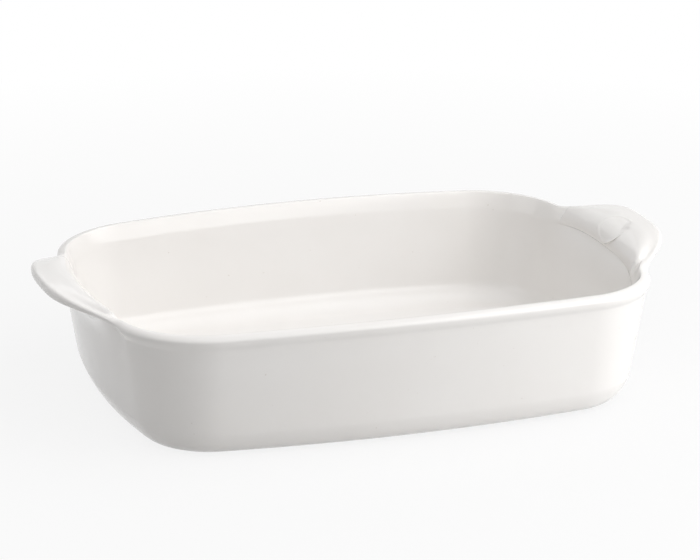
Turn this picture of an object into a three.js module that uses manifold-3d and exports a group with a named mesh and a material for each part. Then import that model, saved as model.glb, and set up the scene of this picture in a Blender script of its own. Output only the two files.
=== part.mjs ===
// Rectangular stoneware baking dish with two flared end handles.
// Millimetres, +Z up, +X along the length, the foot on Z = 0 and the centre of the foot at the origin.
import * as THREE from "three";
import { mergeVertices } from "three/addons/utils/BufferGeometryUtils.js";
import Module from "manifold-3d";

// Plan of the rim at its outermost line, without the handles
const RIM_LENGTH = 319.5;
const RIM_WIDTH = 235.5;
const LONG_SIDE_BOW_RADIUS = 831;
const END_BOW_RADIUS = 389;
const CORNER_RADIUS = 54.5;

// Heights
const RIM_HEIGHT = 71.7;
const RIM_ARCH = 2.6;
const FOOT_HEIGHT = 1;
const BASIN_HEIGHT = 24;
const WALL_TOP_HEIGHT = 50;

// Walls and floor
const WALL_LEAN = THREE.MathUtils.degToRad(9.2);
const WALL_THICKNESS = 6.4;
const FLOOR_THICKNESS = 7;
const INNER_FILLET = 15;

// Rounded foot outside: it turns in from the wall at an edge and runs out level above the bare foot
const FOOT_CURVE_TOP = 14.5;
const FOOT_TURN = THREE.MathUtils.degToRad(9);
const FOOT_RUN = 9;
const FOOT_SETBACK = 1.5;

// Section of the rolled rim, measured in from its outermost line and down from its crest
const SIDE_CREST_INSET = 6.2;
const END_CREST_INSET = 4.6;
const NOSE_DROP = 2.6;
const CREASE_INSET = 2.2;
const CREASE_DROP = 8.2;
const BAND_DROP = 9.5;

// Handles
const HANDLE_WIDTH = 134;
const HANDLE_REACH = 22;
const HANDLE_LIP_THICKNESS = 6;
const LIP_SQUARENESS = 3;
const LIP_RISE = 8.8;
const LIP_STEP = 0.5;
const LIP_STEP_RUN = 3;
const ROLL_WIDTH = 107;
const INNER_FLARE = 3.7;
const INNER_RISE = 3.5;
const ROLL_OVERHANG = 0.8;
const END_CLEARANCE = 0.3;

// Plain oval pad on the right handle
const PAD_LENGTH = 28;
const PAD_WIDTH = 21;
const PAD_THICKNESS = 1.5;
const PAD_TILT = THREE.MathUtils.degToRad(42);
const PAD_LIFT_TILT = THREE.MathUtils.degToRad(62);
const PAD_FROM_LIP = 21;
const PAD_RISE = 4.6;
const PAD_CLEARANCE = 0.3;

// How full the handle's lines are towards its two ends
const REACH_FULLNESS = 1.1;
const RISE_FULLNESS = 1.5;
const UNDERSIDE_FULLNESS = 0.4;
const ROLL_FULLNESS = 0.24;
const FLARE_FULLNESS = 0.7;
const PILLOW_FULLNESS = 2.2;

// Facets
const END_STEPS = 10;
const CORNER_STEPS = 8;
const SIDE_STEPS = 10;
const FILLET_STEPS = 5;
const COVE_STEPS = 4;
const SLOPE_STEPS = 5;
const NOSE_STEPS = 5;
const BAND_STEPS = 5;
const LIP_END_STEPS = 5;
const HANDLE_STEPS = 22;
const PAD_STEPS = 36;

const halfLength = RIM_LENGTH / 2;
const halfWidth = RIM_WIDTH / 2;
const handleEnd = HANDLE_WIDTH / 2;
const rollEnd = ROLL_WIDTH / 2;
const leanRun = Math.tan(WALL_LEAN);
const wallAcross = WALL_THICKNESS / Math.cos(WALL_LEAN);
const floorHeight = FOOT_HEIGHT + FLOOR_THICKNESS;

const wasm = await Module();
wasm.setup();

// Inset of the outer and the inner wall face at a height
const outerInset = (z) => CREASE_INSET + (RIM_HEIGHT - CREASE_DROP - z) * leanRun;
const innerInset = (z) => outerInset(z) + wallAcross;

// The long sides rise a little towards their middle
const crestHeight = (x) => RIM_HEIGHT + RIM_ARCH * (1 - (x / halfLength) ** 2);

// The rim's crest lies further in along the long sides than along the ends
function crestInset(out) {
  const alongSide = THREE.MathUtils.smoothstep(Math.abs(out.y), 0.2, 0.9);
  return THREE.MathUtils.lerp(END_CREST_INSET, SIDE_CREST_INSET, alongSide);
}

// Corner arc that is tangent to the bowed end and the bowed long side, in the first quadrant
function cornerArc() {
  const end = new THREE.Vector2(halfLength - END_BOW_RADIUS, 0);
  const side = new THREE.Vector2(0, halfWidth - LONG_SIDE_BOW_RADIUS);
  const fromEnd = END_BOW_RADIUS - CORNER_RADIUS;
  const fromSide = LONG_SIDE_BOW_RADIUS - CORNER_RADIUS;
  const apart = end.distanceTo(side);
  const along = (fromSide ** 2 - fromEnd ** 2 + apart ** 2) / (2 * apart);
  const across = Math.sqrt(fromSide ** 2 - along ** 2);
  const line = end.clone().sub(side).normalize();
  const centre = side.clone().addScaledVector(line, along);
  centre.addScaledVector(new THREE.Vector2(line.y, -line.x), across);
  const startAngle = Math.atan2(centre.y - end.y, centre.x - end.x);
  const stopAngle = Math.atan2(centre.y - side.y, centre.x - side.x);
  return { end, side, centre, startAngle, stopAngle };
}
const corner = cornerArc();

// Points once round the rim's outermost line, each with its outward direction
function rimStations() {
  const quarter = [];
  const addArc = (centre, radius, from, to, steps) => {
    for (let i = 0; i < steps; i += 1) {
      const angle = from + ((to - from) * i) / steps;
      const out = new THREE.Vector2(Math.cos(angle), Math.sin(angle));
      quarter.push({ at: centre.clone().addScaledVector(out, radius), out });
    }
  };
  addArc(corner.end, END_BOW_RADIUS, 0, corner.startAngle, END_STEPS / 2);
  addArc(corner.centre, CORNER_RADIUS, corner.startAngle, corner.stopAngle, CORNER_STEPS);
  addArc(corner.side, LONG_SIDE_BOW_RADIUS, corner.stopAngle, Math.PI / 2, SIDE_STEPS / 2);
  const top = { at: new THREE.Vector2(0, halfWidth), out: new THREE.Vector2(0, 1) };
  const flip = (v, sx, sy) => new THREE.Vector2(v.x * sx, v.y * sy);
  const mirrored = (list, sx, sy) => list.map((s) => ({ at: flip(s.at, sx, sy), out: flip(s.out, sx, sy) }));
  const half = [...quarter, top, ...mirrored(quarter, -1, 1).reverse()];
  const otherHalf = mirrored(half.slice(1, -1), 1, -1).reverse();
  return [...half, ...otherHalf];
}
const stations = rimStations();

const ringAt = (inset, z) =>
  stations.map(({ at, out }) => new THREE.Vector3(at.x - out.x * inset, at.y - out.y * inset, z));

// Indexed geometry with its faces turned outwards
function closedGeometry(points, faces) {
  let volume = 0;
  for (const [a, b, c] of faces) {
    volume += points[a].dot(new THREE.Vector3().crossVectors(points[b], points[c]));
  }
  const turned = volume < 0 ? faces.map(([a, b, c]) => [a, c, b]) : faces;
  const geometry = new THREE.BufferGeometry();
  geometry.setAttribute("position", new THREE.Float32BufferAttribute(points.flatMap((p) => p.toArray()), 3));
  geometry.setIndex(turned.flat());
  return geometry;
}

// Two triangles between each pair of points of neighbouring rows, where every row is a closed line
function bandFaces(rowCount, rowLength, joinRows) {
  const faces = [];
  const bands = joinRows ? rowCount : rowCount - 1;
  for (let row = 0; row < bands; row += 1) {
    const here = row * rowLength;
    const there = ((row + 1) % rowCount) * rowLength;
    for (let i = 0; i < rowLength; i += 1) {
      const next = (i + 1) % rowLength;
      faces.push([here + i, there + i, there + next], [here + i, there + next, here + next]);
    }
  }
  return faces;
}

// Solid from closed rings stacked from one flat end to the other
function stackedSolid(rings) {
  const points = rings.flat();
  const count = stations.length;
  const faces = bandFaces(rings.length, count, false);
  const lastStart = (rings.length - 1) * count;
  const addHub = (ring) => {
    const middle = new THREE.Vector3();
    ring.forEach((p) => middle.addScaledVector(p, 1 / count));
    return points.push(middle) - 1;
  };
  const firstHub = addHub(rings[0]);
  const lastHub = addHub(rings[rings.length - 1]);
  for (let i = 0; i < count; i += 1) {
    const next = (i + 1) % count;
    faces.push([firstHub, i, next], [lastHub, lastStart + next, lastStart + i]);
  }
  return closedGeometry(points, faces);
}

// Solid ring swept once round the rim's line; the section is given as inset and height
function sweptRing(sectionAt) {
  const rows = stations.map(({ at, out }) =>
    sectionAt(at, out).map(([inset, z]) => new THREE.Vector3(at.x - out.x * inset, at.y - out.y * inset, z)),
  );
  return closedGeometry(rows.flat(), bandFaces(rows.length, rows[0].length, true));
}

// Solid through flat sections at growing Y, closed by flat ends
function sectionedSolid(rows) {
  const count = rows[0].length;
  const faces = bandFaces(rows.length, count, false);
  const addEnd = (row, start, reversed) => {
    const contour = row.map((p) => new THREE.Vector2(p.x, p.z));
    const turn = Math.sign(THREE.ShapeUtils.area(contour));
    for (const [a, b, c] of THREE.ShapeUtils.triangulateShape(contour, [])) {
      const same = Math.sign(THREE.ShapeUtils.area([contour[a], contour[b], contour[c]])) === turn;
      const [p, q] = same !== reversed ? [b, c] : [c, b];
      faces.push([start + a, start + p, start + q]);
    }
  };
  addEnd(rows[0], 0, false);
  addEnd(rows[rows.length - 1], (rows.length - 1) * count, true);
  return closedGeometry(rows.flat(), faces);
}

function toManifold(geometry) {
  const vertProperties = new Float32Array(geometry.getAttribute("position").array);
  const triVerts = new Uint32Array(geometry.getIndex().array);
  return new wasm.Manifold(new wasm.Mesh({ numProp: 3, vertProperties, triVerts }));
}

function fromManifold(solid) {
  const mesh = solid.getMesh();
  const geometry = new THREE.BufferGeometry();
  geometry.setAttribute("position", new THREE.Float32BufferAttribute(mesh.vertProperties, mesh.numProp));
  geometry.setIndex(Array.from(mesh.triVerts));
  return geometry;
}

// Arc of a fillet between a wall and a floor, from the wall down to the floor, as inset and height
function filletArc(insetAt, floorLevel, radius) {
  const centreHeight = floorLevel + radius;
  const centreInset = insetAt(centreHeight) + radius / Math.cos(WALL_LEAN);
  const arc = [];
  for (let i = 0; i <= FILLET_STEPS; i += 1) {
    const angle = THREE.MathUtils.lerp(WALL_LEAN, Math.PI / 2, i / FILLET_STEPS);
    arc.push([centreInset - radius * Math.cos(angle), centreHeight - radius * Math.sin(angle)]);
  }
  return arc;
}

const pairs = (curve, steps) => curve.getPoints(steps).map((p) => [p.x, p.y]);

// Rounded foot from the bare foot up to its edge on the outer wall, as inset and height
function footCurve() {
  const upper = new THREE.Vector2(outerInset(FOOT_CURVE_TOP), FOOT_CURVE_TOP);
  const turnIn = (FOOT_CURVE_TOP - FOOT_HEIGHT) * Math.tan(WALL_LEAN + FOOT_TURN);
  const bend = new THREE.Vector2(upper.x + turnIn, FOOT_HEIGHT);
  const lower = new THREE.Vector2(bend.x + FOOT_RUN, FOOT_HEIGHT);
  return pairs(new THREE.QuadraticBezierCurve(lower, bend, upper), FILLET_STEPS);
}

// Bare flat foot under the glazed basin
function footGeometry() {
  const inset = footCurve()[0][0] + FOOT_SETBACK;
  return stackedSolid([ringAt(inset, 0), ringAt(inset, FOOT_HEIGHT)]);
}

// Floor with its rounded edge, up to a level seam in the wall
function basinGeometry() {
  const innerArc = filletArc(innerInset, floorHeight, INNER_FILLET);
  const outline = [
    ...footCurve(),
    [outerInset(BASIN_HEIGHT), BASIN_HEIGHT],
    [innerInset(BASIN_HEIGHT), BASIN_HEIGHT],
    ...innerArc,
  ];
  return stackedSolid(outline.map(([inset, z]) => ringAt(inset, z)));
}

// Leaning belt of wall between two level seams
function wallGeometry() {
  const levels = [BASIN_HEIGHT, WALL_TOP_HEIGHT];
  const outer = levels.map((z) => [outerInset(z), z]);
  const inner = levels.map((z) => [innerInset(z), z]).reverse();
  return sweptRing(() => [...outer, ...inner]);
}

// Section of the rolled rim: up the outer wall, round the nose, over the crest and down the inner band
function rimSection(crest, topInset) {
  const crease = new THREE.Vector2(outerInset(crest - CREASE_DROP), crest - CREASE_DROP);
  const nose = new THREE.Vector2(0, crest - NOSE_DROP);
  const top = new THREE.Vector2(topInset, crest);
  const edge = new THREE.Vector2(innerInset(crest - BAND_DROP), crest - BAND_DROP);
  const wall = new THREE.LineCurve(new THREE.Vector2(outerInset(WALL_TOP_HEIGHT), WALL_TOP_HEIGHT), crease);
  const slope = new THREE.CubicBezierCurve(
    crease,
    new THREE.Vector2(crease.x - 0.3 * leanRun * CREASE_DROP, crease.y + 0.3 * (nose.y - crease.y)),
    new THREE.Vector2(nose.x, nose.y - 0.5 * (nose.y - crease.y)),
    nose,
  );
  const shoulder = new THREE.CubicBezierCurve(
    nose,
    new THREE.Vector2(nose.x, nose.y + 0.55 * NOSE_DROP),
    new THREE.Vector2(0.45 * top.x, top.y),
    top,
  );
  const bandBend = new THREE.Vector2(THREE.MathUtils.lerp(top.x, edge.x, 0.25), top.y);
  const band = new THREE.QuadraticBezierCurve(top, bandBend, edge);
  const middle = (edge.y + WALL_TOP_HEIGHT) / 2;
  return [
    ...pairs(wall, COVE_STEPS),
    ...pairs(slope, SLOPE_STEPS).slice(1),
    ...pairs(shoulder, NOSE_STEPS).slice(1),
    ...pairs(band, BAND_STEPS).slice(1),
    [innerInset(middle), middle],
    [innerInset(WALL_TOP_HEIGHT), WALL_TOP_HEIGHT],
  ];
}

// One long side of the rim with its two corners, cut level with the ends of the handles
function rimGeometry(side) {
  const ring = toManifold(sweptRing((at, out) => rimSection(crestHeight(at.x), crestInset(out))));
  const depth = RIM_WIDTH;
  const height = 2 * (RIM_HEIGHT + RIM_ARCH);
  const block = new THREE.BoxGeometry(2 * RIM_LENGTH, depth, height);
  block.translate(0, side * (handleEnd + END_CLEARANCE + depth / 2), 0);
  return fromManifold(ring.intersect(toManifold(plainGeometry(block))));
}

// Copy of a geometry with positions only and shared corners merged
function plainGeometry(geometry) {
  const plain = geometry.clone();
  plain.deleteAttribute("normal");
  plain.deleteAttribute("uv");
  return mergeVertices(plain);
}

// X of a line that lies at an inset along the bowed end
const endLine = (inset, y) =>
  corner.end.x + Math.sqrt((END_BOW_RADIUS - inset) ** 2 - y ** 2);

// Curve of the handle's pillowed top in its middle section, by the angle from the inner line out to the lip
function pillowCurve(rim) {
  const edge = rim[rim.length - 3];
  const inner = new THREE.Vector2(halfLength - edge[0] + INNER_FLARE, edge[1] + INNER_RISE);
  const lipEdge = halfLength + HANDLE_REACH - HANDLE_LIP_THICKNESS / 2 - LIP_STEP_RUN;
  const top = new THREE.Vector2(lipEdge, RIM_HEIGHT + LIP_RISE - LIP_STEP);
  const across = top.x - inner.x;
  const up = top.y - inner.y;
  const power = 2 / PILLOW_FULLNESS;
  return (degrees) => {
    const angle = THREE.MathUtils.degToRad(degrees);
    const out = 1 - Math.max(0, Math.cos(angle)) ** power;
    return [inner.x + across * out, inner.y + up * Math.sin(angle) ** power];
  };
}

// Section through the middle of a handle, as X and height, point by point with the rim's section
function handleMiddle(rim) {
  const lipRadius = HANDLE_LIP_THICKNESS / 2;
  const lipTop = RIM_HEIGHT + LIP_RISE;
  const lipCentre = new THREE.Vector2(halfLength + HANDLE_REACH - lipRadius, lipTop - lipRadius);
  const squared = (v) => Math.sign(v) * Math.abs(v) ** (2 / LIP_SQUARENESS);
  const onLip = (degrees) => {
    const angle = THREE.MathUtils.degToRad(degrees);
    const out = lipRadius * squared(Math.cos(angle));
    return [lipCentre.x + out, lipCentre.y + lipRadius * squared(Math.sin(angle))];
  };
  const root = new THREE.Vector2(halfLength - rim[0][0], rim[0][1]);
  const under = new THREE.Vector2(...onLip(-75));
  const climb = under.y - root.y;
  const cove = new THREE.CubicBezierCurve(
    root,
    new THREE.Vector2(root.x + 0.6 * leanRun * climb, root.y + 0.6 * climb),
    new THREE.Vector2(under.x - 0.6 * HANDLE_REACH, under.y - 0.12 * HANDLE_REACH),
    under,
  );
  const onPillow = pillowCurve(rim);
  const inner = onPillow(0);
  const spread = (curve, from, to, steps) => {
    const points = [];
    for (let i = 1; i <= steps; i += 1) points.push(curve(THREE.MathUtils.lerp(from, to, i / steps)));
    return points;
  };
  const [footInset, footHeight] = rim[rim.length - 1];
  const foot = [halfLength - footInset, footHeight];
  return [
    ...pairs(cove, COVE_STEPS),
    ...spread(onLip, -75, 0, SLOPE_STEPS),
    ...spread(onLip, 0, 90, NOSE_STEPS - 1),
    onPillow(90),
    ...spread(onPillow, 90, 0, BAND_STEPS),
    [inner[0] + ROLL_OVERHANG, inner[1] - ROLL_OVERHANG],
    foot,
  ];
}

// Places along a handle: close together where the lip turns in and along the pillow's rounded ends
function handlePlaces() {
  const places = [];
  for (let i = 0; i <= HANDLE_STEPS; i += 1) {
    places.push(rollEnd * Math.sin(Math.PI * (i / HANDLE_STEPS - 0.5)));
  }
  for (let i = 1; i <= LIP_END_STEPS; i += 1) {
    const y = THREE.MathUtils.lerp(rollEnd, handleEnd, i / LIP_END_STEPS);
    places.push(y);
    places.unshift(-y);
  }
  return places;
}

// Left handle between its two flat ends, where it takes the rim's own section
function handleGeometry() {
  const rim = rimSection(RIM_HEIGHT, END_CREST_INSET);
  const middle = handleMiddle(rim);
  const creasePoint = COVE_STEPS;
  const crestPoint = creasePoint + SLOPE_STEPS + NOSE_STEPS;
  const innerPoint = crestPoint + BAND_STEPS;
  const rows = handlePlaces().map((y) => {
    const lipShare = THREE.MathUtils.smoothstep(1 - (y / handleEnd) ** 2, 0, 1);
    const rollRoom = Math.max(0, 1 - (y / rollEnd) ** 2);
    const reachShare = lipShare ** REACH_FULLNESS;
    const flareShare = lipShare ** FLARE_FULLNESS;
    const rollShare = rollRoom ** ROLL_FULLNESS;
    return rim.map(([inset, z], k) => {
      const upLip = THREE.MathUtils.clamp((k - creasePoint) / (crestPoint - creasePoint), 0, 1);
      const inward = THREE.MathUtils.clamp((k - crestPoint) / (innerPoint - crestPoint), 0, 1);
      const reach = middle[k][0] - (halfLength - inset);
      const rise = middle[k][1] - z;
      const x = endLine(inset, y) + reach * THREE.MathUtils.lerp(reachShare, flareShare, inward);
      const riseShare = lipShare ** THREE.MathUtils.lerp(UNDERSIDE_FULLNESS, RISE_FULLNESS, upLip ** 2);
      const nearInner = THREE.MathUtils.smoothstep(inward, 0.7, 1);
      const pillowShare = THREE.MathUtils.lerp(rollShare, flareShare, nearInner);
      const offLip = THREE.MathUtils.smoothstep(inward, 0, 0.5);
      const height = z + rise * THREE.MathUtils.lerp(riseShare, pillowShare, offLip);
      return new THREE.Vector3(-x, y, height);
    });
  });
  return sectionedSolid(rows);
}

// Plain oval that follows the pillow and stands proud of it, most of all towards the inside of the dish
function padGeometry(handle) {
  const lift = new THREE.Vector3(-Math.sin(PAD_LIFT_TILT), 0, Math.cos(PAD_LIFT_TILT));
  const oval = new THREE.CylinderGeometry(0.5, 0.5, 1, PAD_STEPS);
  oval.scale(PAD_WIDTH, HANDLE_REACH, PAD_LENGTH);
  oval.rotateX(Math.PI / 2);
  oval.rotateY(-PAD_TILT);
  oval.translate(halfLength + HANDLE_REACH - PAD_FROM_LIP, 0, RIM_HEIGHT + PAD_RISE);
  const handleMovedOut = (distance) => {
    const move = lift.clone().multiplyScalar(distance);
    return toManifold(handle).translate(move.x, move.y, move.z);
  };
  const cap = toManifold(plainGeometry(oval)).intersect(handleMovedOut(PAD_CLEARANCE + PAD_THICKNESS));
  return fromManifold(cap.subtract(handleMovedOut(PAD_CLEARANCE)));
}

const glaze = { color: 0xf0eee8, roughness: 0.14, metalness: 0 };
const bareClay = { color: 0xd9c9ae, roughness: 0.85, metalness: 0 };

const dish = new THREE.Group();
function addPiece(name, geometry, look) {
  const piece = new THREE.Mesh(geometry, new THREE.MeshStandardMaterial(look));
  piece.name = name;
  dish.add(piece);
}

const leftHandle = handleGeometry();
const rightHandle = leftHandle.clone().rotateZ(Math.PI);
addPiece("foot", footGeometry(), bareClay);
addPiece("basin", basinGeometry(), glaze);
addPiece("wall", wallGeometry(), glaze);
addPiece("front_rim", rimGeometry(-1), glaze);
addPiece("back_rim", rimGeometry(1), glaze);
addPiece("left_handle", leftHandle, glaze);
addPiece("right_handle", rightHandle, glaze);
addPiece("oval_pad", padGeometry(rightHandle), glaze);

export default dish;
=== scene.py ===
# Looks of a white glazed rectangular baking dish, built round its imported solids. Metres, +Z up.
import math

import bpy
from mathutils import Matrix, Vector


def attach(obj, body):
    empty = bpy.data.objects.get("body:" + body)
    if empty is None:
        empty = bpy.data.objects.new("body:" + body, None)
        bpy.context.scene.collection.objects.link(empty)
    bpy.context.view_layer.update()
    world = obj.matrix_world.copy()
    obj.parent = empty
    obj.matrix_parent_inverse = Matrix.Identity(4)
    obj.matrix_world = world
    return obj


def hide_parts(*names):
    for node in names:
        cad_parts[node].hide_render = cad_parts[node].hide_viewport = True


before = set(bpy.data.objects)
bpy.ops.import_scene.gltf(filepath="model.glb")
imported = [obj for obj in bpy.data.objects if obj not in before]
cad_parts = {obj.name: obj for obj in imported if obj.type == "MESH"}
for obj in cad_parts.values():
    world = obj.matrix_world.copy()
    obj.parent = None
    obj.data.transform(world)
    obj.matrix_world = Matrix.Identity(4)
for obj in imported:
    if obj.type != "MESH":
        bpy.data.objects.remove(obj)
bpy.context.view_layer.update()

# Plan of the rim at its outermost line, without the handles
RIM_LENGTH = 0.3195
RIM_WIDTH = 0.2355
LONG_SIDE_BOW_RADIUS = 0.831
END_BOW_RADIUS = 0.389
CORNER_RADIUS = 0.0545

# Heights
RIM_HEIGHT = 0.0717
RIM_ARCH = 0.0026
FOOT_HEIGHT = 0.001
SHOULDER_HEIGHT = 0.050

# Walls and floor
WALL_LEAN = math.radians(9.2)
WALL_THICKNESS = 0.0064
FLOOR_HEIGHT = 0.008
INNER_FILLET = 0.015

# Rounded foot outside: it turns in at an edge, kept crisp by a close point, and runs out level
FOOT_CURVE_TOP = 0.0145
FOOT_TURN = math.radians(9)
FOOT_RUN = 0.009
FOOT_EDGE = 0.0008

# Section of the rolled rim, measured in from its outermost line and down from its crest
END_CREST_INSET = 0.0046
SIDE_CREST_INSET = 0.0062
NOSE_DROP = 0.0026
CREASE_INSET = 0.0022
CREASE_DROP = 0.0082
BAND_DROP = 0.0095

# Bend points of the rim's curves, as shares of the slope's climb, the nose's drop and the runs across
CREASE_BEND = 0.3
SLOPE_BEND = 0.5
NOSE_BEND = 0.55
CREST_BEND = 0.45
BAND_BEND = 0.25

# Outward Y between which the crest goes over from its inset at the ends to its inset at the sides
CREST_SHIFT_START = 0.2
CREST_SHIFT_STOP = 0.9

# Handles: lip, step behind it, roll and inner flare, and the powers by which they run out
HANDLE_END = 0.067
HANDLE_REACH = 0.0218
LIP_THICKNESS = 0.006
LIP_SQUARENESS = 3.0
LIP_RISE = 0.0087
LIP_STEP = 0.0005
LIP_STEP_RUN = 0.003
ROLL_END = 0.0535
INNER_FLARE = 0.0037
INNER_RISE = 0.0035
ROLL_OVERHANG = 0.0008
REACH_FULLNESS = 1.1
RISE_FULLNESS = 1.5
UNDERSIDE_FULLNESS = 0.4
ROLL_FULLNESS = 0.24
FLARE_FULLNESS = 0.7
PILLOW_FULLNESS = 2.2

# Curves of a handle: where its underside meets the lip, in degrees, and bend points under and inside it
UNDERSIDE_TURN = -75
COVE_CLIMB = 0.6
COVE_APPROACH = (0.6, 0.12)
INNER_CLIMB = 0.6

# Shares of the way in from the crest: where the pillow has taken over from the lip, where the flare begins
PILLOW_FULL = 0.5
FLARE_START = 0.7

# Plain oval on the right handle: border and step as shares of its size, and two small turns of its top
PAD_LENGTH = 0.028
PAD_WIDTH = 0.021
PAD_THICKNESS = 0.0008
PAD_TILT = math.radians(42)
PAD_LIFT_TILT = math.radians(62)
PAD_FROM_LIP = 0.021
PAD_RISE = 0.0046
PAD_BORDER = 0.1
PAD_STEP = 0.03
PAD_SUNK = 0.00025
PAD_RUNOUT = (math.radians(3.2), math.radians(1.5))
PAD_RINGS = 8
PAD_POINTS = 96

# Shades of the glaze and of the clay, and the colours of their specks
GLAZE_SHADES = ((0.890, 0.868, 0.844, 1), (0.910, 0.891, 0.871, 1))
SPECK_COLOUR = (0.45, 0.38, 0.29, 1)
CLAY_SHADES = ((0.60, 0.49, 0.35, 1), (0.70, 0.60, 0.46, 1))
GROG_COLOUR = (0.33, 0.24, 0.16, 1)

# Studio: lamps as place, width and height, and watts, all aimed at the dish; world light; floor; camera
LAMPS = {
    "key_softbox": ((0.60, -0.50, 0.33), (1.10, 0.60), 4.6),
    "right_softbox": ((0.55, -0.15, 0.61), (0.80, 0.80), 1.8),
    "front_top_softbox": ((0.0, -0.25, 0.82), (1.60, 1.20), 5.6),
    "back_softbox": ((-0.19, 0.53, 0.61), (1.00, 0.70), 1.3),
    "left_card": ((-0.76, 0.0, 0.33), (0.60, 0.50), 0.7),
}
LAMP_AIM = (0.0, 0.0, 0.04)
AMBIENT = 0.02
STUDIO_FLOOR_SIZE = 8
STUDIO_FLOOR_COLOUR = (0.74, 0.74, 0.74, 1)
STUDIO_FLOOR_ROUGHNESS = 0.9
STUDIO_FLOOR_WHITENESS = 0.85
STUDIO_FLOOR_FADE = (0.2, 0.7)
CAMERA_PLACE = (-0.62354, -1.84682, 0.69812)
CAMERA_TURN = (71.882, -0.172, -18.589)
CAMERA_LENS = 185.98
CAMERA_SENSOR = 36

# How many points lie along each stretch of the section, and how many turns the sweep takes
WALL_POINTS = 6
UPPER_WALL_POINTS = 8
FILLET_POINTS = 10
COVE_POINTS = 8
SLOPE_POINTS = 14
NOSE_POINTS = 14
BAND_POINTS = 18
ROLL_TURNS = 44
LIP_END_TURNS = 12
CORNER_TURNS = 26
SIDE_TURNS = 24

# Mesh making: tolerances, inset of the closing faces, and the largest angles shaded smooth, in degrees
TINY = 1e-6
MIRROR_WELD = 1e-5
CLOSING_INSET = 0.003
DISH_SMOOTH = 35
PAD_SMOOTH = 40

half_length = RIM_LENGTH / 2
half_width = RIM_WIDTH / 2
lean_run = math.tan(WALL_LEAN)
wall_across = WALL_THICKNESS / math.cos(WALL_LEAN)


def mix(a, b, share):
    return a + (b - a) * share


def smooth_step(value, low, high):
    t = min(1.0, max(0.0, (value - low) / (high - low)))
    return t * t * (3 - 2 * t)


def outer_inset(z):
    return CREASE_INSET + (RIM_HEIGHT - CREASE_DROP - z) * lean_run


def inner_inset(z):
    return outer_inset(z) + wall_across


def bezier(points, count):
    """Points along a Bezier curve of any degree, both ends included."""
    found = []
    for i in range(count + 1):
        level = [Vector(p) for p in points]
        while len(level) > 1:
            level = [a.lerp(b, i / count) for a, b in zip(level, level[1:])]
        found.append(tuple(level[0]))
    return found


def line(a, b, count):
    return bezier([a, b], count)


def fillet(inset_at, floor_height, radius):
    """Arc between a leaning wall and a level floor, from the wall down, as inset and height."""
    middle_height = floor_height + radius
    middle_inset = inset_at(middle_height) + radius / math.cos(WALL_LEAN)
    arc = []
    for i in range(FILLET_POINTS + 1):
        angle = mix(WALL_LEAN, math.pi / 2, i / FILLET_POINTS)
        arc.append((middle_inset - radius * math.cos(angle), middle_height - radius * math.sin(angle)))
    return arc


# Section of the dish from the edge of the foot up the outside, over the rim and down to the floor
crease = (CREASE_INSET, RIM_HEIGHT - CREASE_DROP)
nose = (0.0, RIM_HEIGHT - NOSE_DROP)
crest = (END_CREST_INSET, RIM_HEIGHT)
band_edge = (inner_inset(RIM_HEIGHT - BAND_DROP), RIM_HEIGHT - BAND_DROP)
outer_shoulder = (outer_inset(SHOULDER_HEIGHT), SHOULDER_HEIGHT)
inner_shoulder = (inner_inset(SHOULDER_HEIGHT), SHOULDER_HEIGHT)
slope_climb = nose[1] - crease[1]

foot_top = (outer_inset(FOOT_CURVE_TOP), FOOT_CURVE_TOP)
foot_bend = (foot_top[0] + (FOOT_CURVE_TOP - FOOT_HEIGHT) * math.tan(WALL_LEAN + FOOT_TURN), FOOT_HEIGHT)
outer_foot = bezier([(foot_bend[0] + FOOT_RUN, FOOT_HEIGHT), foot_bend, foot_top], FILLET_POINTS)
above_foot = (outer_inset(FOOT_CURVE_TOP + FOOT_EDGE), FOOT_CURVE_TOP + FOOT_EDGE)
outer_wall = [foot_top] + line(above_foot, outer_shoulder, WALL_POINTS)
wall_top = line(outer_shoulder, crease, COVE_POINTS)
crease_bend = (crease[0] - CREASE_BEND * lean_run * CREASE_DROP, crease[1] + CREASE_BEND * slope_climb)
slope_bend = (0.0, nose[1] - SLOPE_BEND * slope_climb)
slope = bezier([crease, crease_bend, slope_bend, nose], SLOPE_POINTS)
nose_bend = (0.0, nose[1] + NOSE_BEND * NOSE_DROP)
crest_bend = (CREST_BEND * crest[0], crest[1])
over_nose = bezier([nose, nose_bend, crest_bend, crest], NOSE_POINTS)
band_bend = (mix(crest[0], band_edge[0], BAND_BEND), crest[1])
band = bezier([crest, band_bend, band_edge], BAND_POINTS)
under_edge = (inner_inset(band_edge[1] - ROLL_OVERHANG), band_edge[1] - ROLL_OVERHANG)
inner_top = [band_edge] + line(under_edge, inner_shoulder, UPPER_WALL_POINTS)
inner_foot = fillet(inner_inset, FLOOR_HEIGHT, INNER_FILLET)
inner_wall = line(inner_shoulder, inner_foot[0], WALL_POINTS)


def chain(*stretches):
    """Stretches joined end to end, each shared point kept once."""
    points = list(stretches[0])
    for stretch in stretches[1:]:
        points += stretch[1:]
    return points


section = chain(outer_foot, outer_wall, wall_top, slope, over_nose, band, inner_top, inner_wall, inner_foot)
rim_section = chain(wall_top, slope, over_nose, band, inner_top)
crease_place = COVE_POINTS
nose_place = crease_place + SLOPE_POINTS
crest_place = nose_place + NOSE_POINTS
edge_place = crest_place + BAND_POINTS


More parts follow.
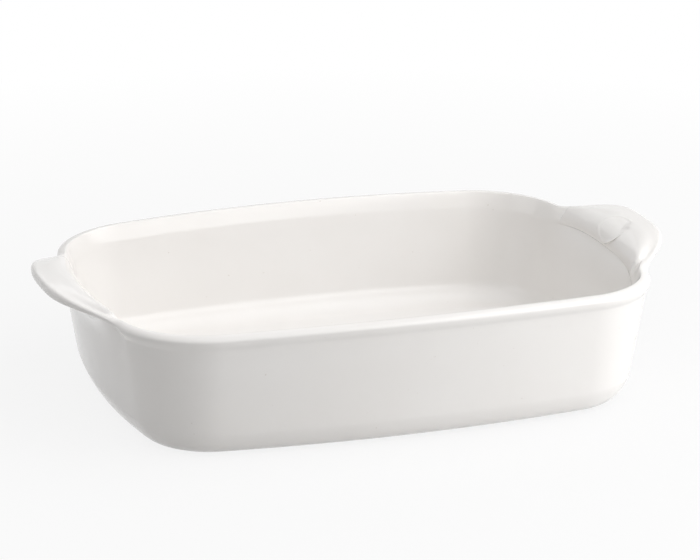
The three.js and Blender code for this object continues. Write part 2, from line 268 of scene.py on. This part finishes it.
def handle_section():
    """Section through the middle of a handle, as X and height, point by point with the rim's."""
    radius = LIP_THICKNESS / 2
    lip_middle = Vector((half_length + HANDLE_REACH - radius, RIM_HEIGHT + LIP_RISE - radius))

    def on_lip(degrees):
        angle = math.radians(degrees)
        lip_power = 2 / LIP_SQUARENESS
        squared = [math.copysign(abs(v) ** lip_power, v) for v in (math.cos(angle), math.sin(angle))]
        return tuple(lip_middle + radius * Vector(squared))

    root = Vector((half_length - outer_shoulder[0], SHOULDER_HEIGHT))
    under = Vector(on_lip(UNDERSIDE_TURN))
    climb = under.y - root.y
    cove_start = root + COVE_CLIMB * climb * Vector((lean_run, 1))
    cove_stop = under - HANDLE_REACH * Vector(COVE_APPROACH)
    cove = bezier([root, cove_start, cove_stop, under], COVE_POINTS)
    lower_lip = [on_lip(mix(UNDERSIDE_TURN, 0, i / SLOPE_POINTS)) for i in range(SLOPE_POINTS + 1)]
    upper_lip = [on_lip(mix(0, 90, i / NOSE_POINTS)) for i in range(NOSE_POINTS + 1)]
    inner = (half_length - band_edge[0] + INNER_FLARE, band_edge[1] + INNER_RISE)
    top = (lip_middle.x - LIP_STEP_RUN, RIM_HEIGHT + LIP_RISE - LIP_STEP)
    pillow_power = 2 / PILLOW_FULLNESS
    pillow = []
    for i in range(1, BAND_POINTS + 1):
        angle = math.radians(mix(90, 0, (i - 1) / (BAND_POINTS - 1)))
        out = 1 - max(0.0, math.cos(angle)) ** pillow_power
        up = max(0.0, math.sin(angle)) ** pillow_power
        pillow.append((mix(inner[0], top[0], out), mix(inner[1], top[1], up)))
    wall_foot = (half_length - inner_shoulder[0], SHOULDER_HEIGHT)
    under_roll = (inner[0] + ROLL_OVERHANG, inner[1] - ROLL_OVERHANG)
    wall_climb = INNER_CLIMB * (under_roll[1] - wall_foot[1])
    wall_bend = (wall_foot[0] + lean_run * wall_climb, wall_foot[1] + wall_climb)
    inner_wall_top = bezier([under_roll, wall_bend, wall_foot], UPPER_WALL_POINTS)
    return chain(cove, lower_lip, upper_lip) + pillow + inner_wall_top


handle_middle = handle_section()


def corner_arc():
    """Middle and turn limits of the corner that is tangent to the bowed end and the bowed front."""
    end = Vector((half_length - END_BOW_RADIUS, 0))
    side = Vector((0, LONG_SIDE_BOW_RADIUS - half_width))
    from_end = END_BOW_RADIUS - CORNER_RADIUS
    from_side = LONG_SIDE_BOW_RADIUS - CORNER_RADIUS
    apart = (end - side).length
    along = (from_side ** 2 - from_end ** 2 + apart ** 2) / (2 * apart)
    across = math.sqrt(from_side ** 2 - along ** 2)
    towards = (end - side).normalized()
    middle = side + towards * along + Vector((-towards.y, towards.x)) * across
    start = math.atan2(end.y - middle.y, middle.x - end.x)
    stop = math.atan2(side.y - middle.y, middle.x - side.x)
    return end, side, middle, start, stop


end_middle, side_middle, corner_middle, corner_start, corner_stop = corner_arc()


def rim_place(place):
    """Inset from the rim's outermost line, and direction away from the dish, at a point of the quarter."""
    from_end = place.xy - end_middle
    from_side = place.xy - side_middle
    if math.atan2(-from_end.y, from_end.x) <= corner_start + TINY:
        spoke, radius = from_end, END_BOW_RADIUS
    elif math.atan2(-from_side.y, from_side.x) >= corner_stop - TINY:
        spoke, radius = from_side, LONG_SIDE_BOW_RADIUS
    else:
        spoke, radius = place.xy - corner_middle, CORNER_RADIUS
    return radius - spoke.length, spoke.normalized()


def sweep_turns():
    """Angles through which the section is spun along the end, round the corner and along the front."""
    places = [ROLL_END * math.sin(math.pi / 2 * i / ROLL_TURNS) for i in range(ROLL_TURNS + 1)]
    angles = [math.asin(y / END_BOW_RADIUS) for y in places]
    angles += [mix(angles[-1], corner_start, i / LIP_END_TURNS) for i in range(1, LIP_END_TURNS + 1)]
    turns = [(b - a, end_middle) for a, b in zip(angles, angles[1:])]
    turns += [((corner_stop - corner_start) / CORNER_TURNS, corner_middle)] * CORNER_TURNS
    turns += [((math.pi / 2 - corner_stop) / SIDE_TURNS, side_middle)] * SIDE_TURNS
    return turns


def begin(add, **sizes):
    """Adds a primitive with nothing else selected, and opens it in edit mode."""
    bpy.ops.object.select_all(action="DESELECT")
    add(**sizes)
    bpy.ops.object.mode_set(mode="EDIT")
    bpy.ops.mesh.select_mode(type="VERT")
    return bpy.context.object


def select_faces(piece, wanted):
    """Selects, in edit mode, just the faces that pass a test."""
    bpy.ops.mesh.select_mode(type="FACE")
    bpy.ops.mesh.select_all(action="DESELECT")
    bpy.ops.object.mode_set(mode="OBJECT")
    for face in piece.data.polygons:
        face.select = wanted(face)
    bpy.ops.object.mode_set(mode="EDIT")


def finish_piece(piece, name, degrees):
    """Names a piece, puts its place into its mesh and shades it smooth up to an angle."""
    bpy.ops.object.mode_set(mode="OBJECT")
    piece.name = name
    piece.data.name = name
    bpy.ops.object.transform_apply(location=True, rotation=True, scale=True)
    bpy.ops.object.shade_smooth_by_angle(angle=math.radians(degrees))


def swept_quarter():
    """Front right quarter of the plain dish: its section drawn by extrusion and spun along the plan."""
    # A small plane merged to its middle gives the first point of the section
    dish = begin(bpy.ops.mesh.primitive_plane_add, size=0.01)
    bpy.ops.mesh.merge(type="CENTER")
    points = [Vector((half_length - inset, 0, z)) for inset, z in section]
    bpy.ops.transform.translate(value=points[0])
    for a, b in zip(points, points[1:]):
        bpy.ops.mesh.extrude_region_move(TRANSFORM_OT_translate={"value": b - a})
    bpy.ops.mesh.select_all(action="SELECT")
    for angle, middle in sweep_turns():
        bpy.ops.mesh.spin(steps=1, angle=angle, center=(middle.x, middle.y, 0), axis=(0, 0, 1))
    bpy.ops.object.mode_set(mode="OBJECT")
    return dish


def rim_shape(place, out, k):
    """Where point k of the rim's section goes: the crest moves in along the sides and rises midway."""
    sideways = smooth_step(abs(out.y), CREST_SHIFT_START, CREST_SHIFT_STOP)
    crest_shift = (SIDE_CREST_INSET - END_CREST_INSET) * sideways
    inset, z = rim_section[k]
    share = 0.0
    if nose_place < k <= crest_place:
        share = inset / END_CREST_INSET
    elif crest_place < k < edge_place:
        share = (band_edge[0] - inset) / (band_edge[0] - END_CREST_INSET)
    place -= Vector((out.x, out.y, 0)) * crest_shift * share
    rise = RIM_ARCH * (1 - (place.x / half_length) ** 2)
    return place + Vector((0, 0, rise * smooth_step(z, SHOULDER_HEIGHT, crease[1])))


def handle_shape(place, k):
    """Where point k of the rim's section goes in a handle: out and up to lip, pillow and flare."""
    inset, z = rim_section[k]
    lip_share = smooth_step(1 - (place.y / HANDLE_END) ** 2, 0, 1)
    roll_room = max(0.0, 1 - (place.y / ROLL_END) ** 2)
    up_lip = min(1.0, max(0.0, (k - crease_place) / (crest_place - crease_place)))
    inward = min(1.0, max(0.0, (k - crest_place) / (edge_place - crest_place)))
    flare_share = lip_share ** FLARE_FULLNESS
    rise_share = lip_share ** mix(UNDERSIDE_FULLNESS, RISE_FULLNESS, up_lip ** 2)
    pillow_share = mix(roll_room ** ROLL_FULLNESS, flare_share, smooth_step(inward, FLARE_START, 1))
    reach = mix(lip_share ** REACH_FULLNESS, flare_share, inward)
    rise = mix(rise_share, pillow_share, smooth_step(inward, 0, PILLOW_FULL))
    out = handle_middle[k][0] - (half_length - inset)
    up = handle_middle[k][1] - z
    return place + Vector((out * reach, 0, up * rise))


def shape_rim_and_handle(dish):
    """Moves the rim's points of the swept quarter to the shape of the rolled rim and the handle."""
    for vertex in dish.data.vertices:
        place = vertex.co.copy()
        if place.z < SHOULDER_HEIGHT - TINY:
            continue
        inset, out = rim_place(place)
        gaps = [(inset - i) ** 2 + (place.z - z) ** 2 for i, z in rim_section]
        k = gaps.index(min(gaps))
        place = rim_shape(place, out, k)
        if abs(place.y) < HANDLE_END:
            place = handle_shape(place, k)
        vertex.co = place


def make_glazed_dish():
    """The glazed body: one quarter swept and shaped, mirrored both ways, its floor and underside closed."""
    dish = swept_quarter()
    shape_rim_and_handle(dish)
    halves = dish.modifiers.new("halves", "MIRROR")
    halves.use_axis = (True, True, False)
    halves.merge_threshold = MIRROR_WELD
    bpy.ops.object.modifier_apply(modifier=halves.name)
    bpy.ops.object.mode_set(mode="EDIT")
    bpy.ops.mesh.select_all(action="SELECT")
    bpy.ops.mesh.remove_doubles(threshold=TINY)
    bpy.ops.mesh.select_all(action="DESELECT")
    bpy.ops.mesh.select_non_manifold(extend=False)
    bpy.ops.mesh.fill_holes(sides=0)
    bpy.ops.mesh.select_all(action="SELECT")
    bpy.ops.mesh.normals_make_consistent(inside=False)
    select_faces(dish, lambda face: len(face.vertices) > 4)
    bpy.ops.mesh.inset(thickness=CLOSING_INSET, use_individual=True)
    finish_piece(dish, "glazed_dish", DISH_SMOOTH)
    return dish


def make_oval_pad(dish):
    """Oval that follows the pillow of the right handle: a thin border round a slightly sunk plain field."""
    facing = Vector((-math.sin(PAD_TILT), 0, math.cos(PAD_TILT)))
    lift = Vector((-math.sin(PAD_LIFT_TILT), 0, math.cos(PAD_LIFT_TILT)))
    middle = Vector((half_length + HANDLE_REACH - PAD_FROM_LIP, 0, RIM_HEIGHT + PAD_RISE))
    pad = begin(bpy.ops.mesh.primitive_circle_add, vertices=PAD_POINTS, radius=0.5)
    bpy.ops.mesh.select_all(action="SELECT")
    bpy.ops.transform.resize(value=(PAD_WIDTH, PAD_LENGTH, 1))
    sizes = [1.0, 1 - PAD_BORDER, 1 - PAD_BORDER - PAD_STEP]
    sizes += [sizes[-1] * (1 - i / PAD_RINGS) for i in range(1, PAD_RINGS)]
    for before, after in zip(sizes, sizes[1:]):
        bpy.ops.mesh.extrude_edges_move()
        bpy.ops.transform.resize(value=(after / before, after / before, 1))
    bpy.ops.mesh.edge_face_add()
    bpy.ops.object.mode_set(mode="OBJECT")
    pad.rotation_euler = (0, -PAD_TILT, 0)
    pad.location = middle + facing * HANDLE_REACH / 2
    drape = pad.modifiers.new("drape", "SHRINKWRAP")
    drape.target = dish
    drape.wrap_method = "PROJECT"
    drape.use_project_z = True
    drape.use_positive_direction = False
    drape.use_negative_direction = True
    bpy.ops.object.modifier_apply(modifier=drape.name)
    bpy.ops.object.transform_apply(location=True, rotation=True, scale=True)
    bpy.ops.object.mode_set(mode="EDIT")
    bpy.ops.mesh.select_all(action="SELECT")
    bpy.ops.mesh.extrude_region_move(TRANSFORM_OT_translate={"value": lift * PAD_THICKNESS})
    for axis, turn in zip("XY", PAD_RUNOUT):
        bpy.ops.transform.rotate(value=-turn, orient_axis=axis, center_override=middle)
    bpy.ops.mesh.select_all(action="SELECT")
    bpy.ops.mesh.normals_make_consistent(inside=False)
    up_slope = Vector((math.cos(PAD_TILT), 0, math.sin(PAD_TILT)))
    top_middle = middle + lift * PAD_THICKNESS

    def in_field(face):
        from_middle = face.center - top_middle
        spread = math.hypot(2 * from_middle.dot(up_slope) / PAD_WIDTH, 2 * from_middle.y / PAD_LENGTH)
        return face.normal.dot(facing) > 0 and spread < sizes[2]

    select_faces(pad, in_field)
    bpy.ops.transform.translate(value=-lift * PAD_SUNK)
    finish_piece(pad, "plain_oval_pad", PAD_SMOOTH)
    return pad


# Materials
class Value:
    """A shader socket that takes part in Python sums; each sum adds a Math node."""

    def __init__(self, look, socket):
        self.look = look
        self.socket = socket

    def sum(self, operation, a, b):
        return self.look.node("ShaderNodeMath", {"operation": operation}, {0: a, 1: b})

    def __add__(self, other):
        return self.sum("ADD", self, other)

    def __radd__(self, other):
        return self.sum("ADD", other, self)

    def __mul__(self, other):
        return self.sum("MULTIPLY", self, other)

    def __rmul__(self, other):
        return self.sum("MULTIPLY", other, self)


class Look:
    """One material and a short way to add its nodes."""

    def __init__(self, name):
        self.material = bpy.data.materials.new(name)
        self.material.use_nodes = True
        self.tree = self.material.node_tree
        self.shader = self.tree.nodes["Principled BSDF"]

    def node(self, kind, settings=None, values=None, output=0):
        made = self.tree.nodes.new(kind)
        for key, setting in (settings or {}).items():
            if key == "stops":
                for stop, (position, colour) in zip(made.color_ramp.elements, setting):
                    stop.position = position
                    stop.color = colour
            else:
                setattr(made, key, setting)
        for key, value in (values or {}).items():
            self.feed(made.inputs[key], value)
        return Value(self, made.outputs[output])

    def feed(self, socket, value):
        if isinstance(value, Value):
            self.tree.links.new(value.socket, socket)
        else:
            socket.default_value = value

    def set(self, **values):
        for key, value in values.items():
            self.feed(self.shader.inputs[key.replace("_", " ")], value)

    def place(self):
        return self.node("ShaderNodeTexCoord", output="Object")

    def noise(self, scale, detail):
        values = {"Vector": self.place(), "Scale": scale, "Detail": detail}
        return self.node("ShaderNodeTexNoise", values=values)

    def ramp(self, value, low, high):
        stops = [(low, (0, 0, 0, 1)), (high, (1, 1, 1, 1))]
        return self.node("ShaderNodeValToRGB", {"stops": stops}, {"Fac": value})

    def blend(self, share, a, b):
        """Mix of two colours; 6, 7 and output 2 are the colour sockets of a Mix node."""
        return self.node("ShaderNodeMix", {"data_type": "RGBA"}, {"Factor": share, 6: a, 7: b}, output=2)


def white_glaze():
    """Glossy warm white glaze: cloudy, a little uneven in gloss, with few specks and soft ripples."""
    look = Look("white_glaze")
    clouds = look.noise(scale=14, detail=3)
    cream = look.blend(look.ramp(clouds, low=0.35, high=0.7), *GLAZE_SHADES)
    specks = look.ramp(look.noise(scale=420, detail=1), low=0.79, high=0.82)
    look.set(Base_Color=look.blend(specks * 0.25, cream, SPECK_COLOUR))
    look.set(Roughness=0.085 + look.noise(scale=60, detail=2) * 0.05, IOR=1.5)
    ripples = {"Strength": 0.06, "Distance": 0.001, "Height": look.noise(scale=28, detail=1)}
    look.set(Normal=look.node("ShaderNodeBump", values=ripples))
    return look.material


def bare_clay():
    """Unglazed fired clay: buff, matt, with dark grog and a sandy surface."""
    look = Look("bare_clay")
    clouds = look.noise(scale=40, detail=4)
    buff = look.blend(look.ramp(clouds, low=0.3, high=0.7), *CLAY_SHADES)
    grog = look.ramp(look.noise(scale=900, detail=2), low=0.62, high=0.70)
    look.set(Base_Color=look.blend(grog * 0.5, buff, GROG_COLOUR))
    look.set(Roughness=0.75 + clouds * 0.2)
    sand = {"Strength": 0.4, "Distance": 0.0002, "Height": look.noise(scale=1500, detail=3)}
    look.set(Normal=look.node("ShaderNodeBump", values=sand))
    return look.material


def dress(piece, material):
    piece.data.materials.clear()
    piece.data.materials.append(material)


glaze = white_glaze()
clay = bare_clay()

glazed_dish = make_glazed_dish()
dress(glazed_dish, glaze)
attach(glazed_dish, "root")
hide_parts("basin", "wall", "front_rim", "back_rim", "left_handle", "right_handle")

oval_pad = make_oval_pad(glazed_dish)
dress(oval_pad, glaze)
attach(oval_pad, "root")
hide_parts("oval_pad")

dress(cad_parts["foot"], clay)


# Stage, light and camera
class Studio(Look):
    """The world as a look, so that its nodes are added the same way."""

    def __init__(self, name):
        self.world = bpy.data.worlds.new(name)
        self.world.use_nodes = True
        self.tree = self.world.node_tree
        self.shader = self.tree.nodes["Background"]


def seen(look):
    """1 for rays by which the camera sees a surface, straight or in a mirror or through glass, else 0."""
    path = look.tree.nodes.new("ShaderNodeLightPath")
    straight, mirrored, through = (Value(look, path.outputs["Is %s Ray" % kind])
                                   for kind in ("Camera", "Glossy", "Transmission"))
    return straight.sum("MAXIMUM", straight.sum("MAXIMUM", straight, mirrored), through)


def make_floor():
    """Pale floor that is mostly white to the eye and still shows the shadow of the dish."""
    floor = begin(bpy.ops.mesh.primitive_plane_add, size=STUDIO_FLOOR_SIZE)
    bpy.ops.object.mode_set(mode="OBJECT")
    floor.name = "floor"
    look = Look("pale_floor")
    look.set(Base_Color=STUDIO_FLOOR_COLOUR, Roughness=STUDIO_FLOOR_ROUGHNESS)
    white = look.node("ShaderNodeEmission", values={"Color": (1, 1, 1, 1), "Strength": 1.0})
    distance = look.node("ShaderNodeVectorMath", {"operation": "LENGTH"}, {0: look.place()}, "Value")
    far_off = look.ramp(distance, *STUDIO_FLOOR_FADE)
    share = seen(look) * (STUDIO_FLOOR_WHITENESS + far_off * (1 - STUDIO_FLOOR_WHITENESS))
    lit = Value(look, look.shader.outputs[0])
    shown = look.node("ShaderNodeMixShader", values={0: share, 1: lit, 2: white})
    look.feed(look.tree.nodes["Material Output"].inputs["Surface"], shown)
    dress(floor, look.material)


def area_light(name, place, size, power):
    bpy.ops.object.light_add(type="AREA", location=place)
    lamp = bpy.context.object
    lamp.name = name
    lamp.data.shape = "RECTANGLE"
    lamp.data.size, lamp.data.size_y = size
    lamp.data.energy = power
    lamp.rotation_euler = (Vector(LAMP_AIM) - Vector(place)).to_track_quat("-Z", "Y").to_euler()


def make_world():
    """Faint even light all round, seen as white by the camera and in reflections."""
    studio = Studio("studio")
    studio.set(Color=(1, 1, 1, 1), Strength=AMBIENT + seen(studio) * (1 - AMBIENT))
    bpy.context.scene.world = studio.world


make_floor()
make_world()
for lamp_name, (lamp_place, lamp_size, lamp_power) in LAMPS.items():
    area_light(lamp_name, lamp_place, lamp_size, lamp_power)

bpy.ops.object.camera_add(location=CAMERA_PLACE, rotation=[math.radians(a) for a in CAMERA_TURN])
camera = bpy.context.object
camera.data.lens = CAMERA_LENS
camera.data.sensor_width = CAMERA_SENSOR
bpy.context.scene.camera = camera
bpy.context.scene.view_settings.view_transform = "Standard"
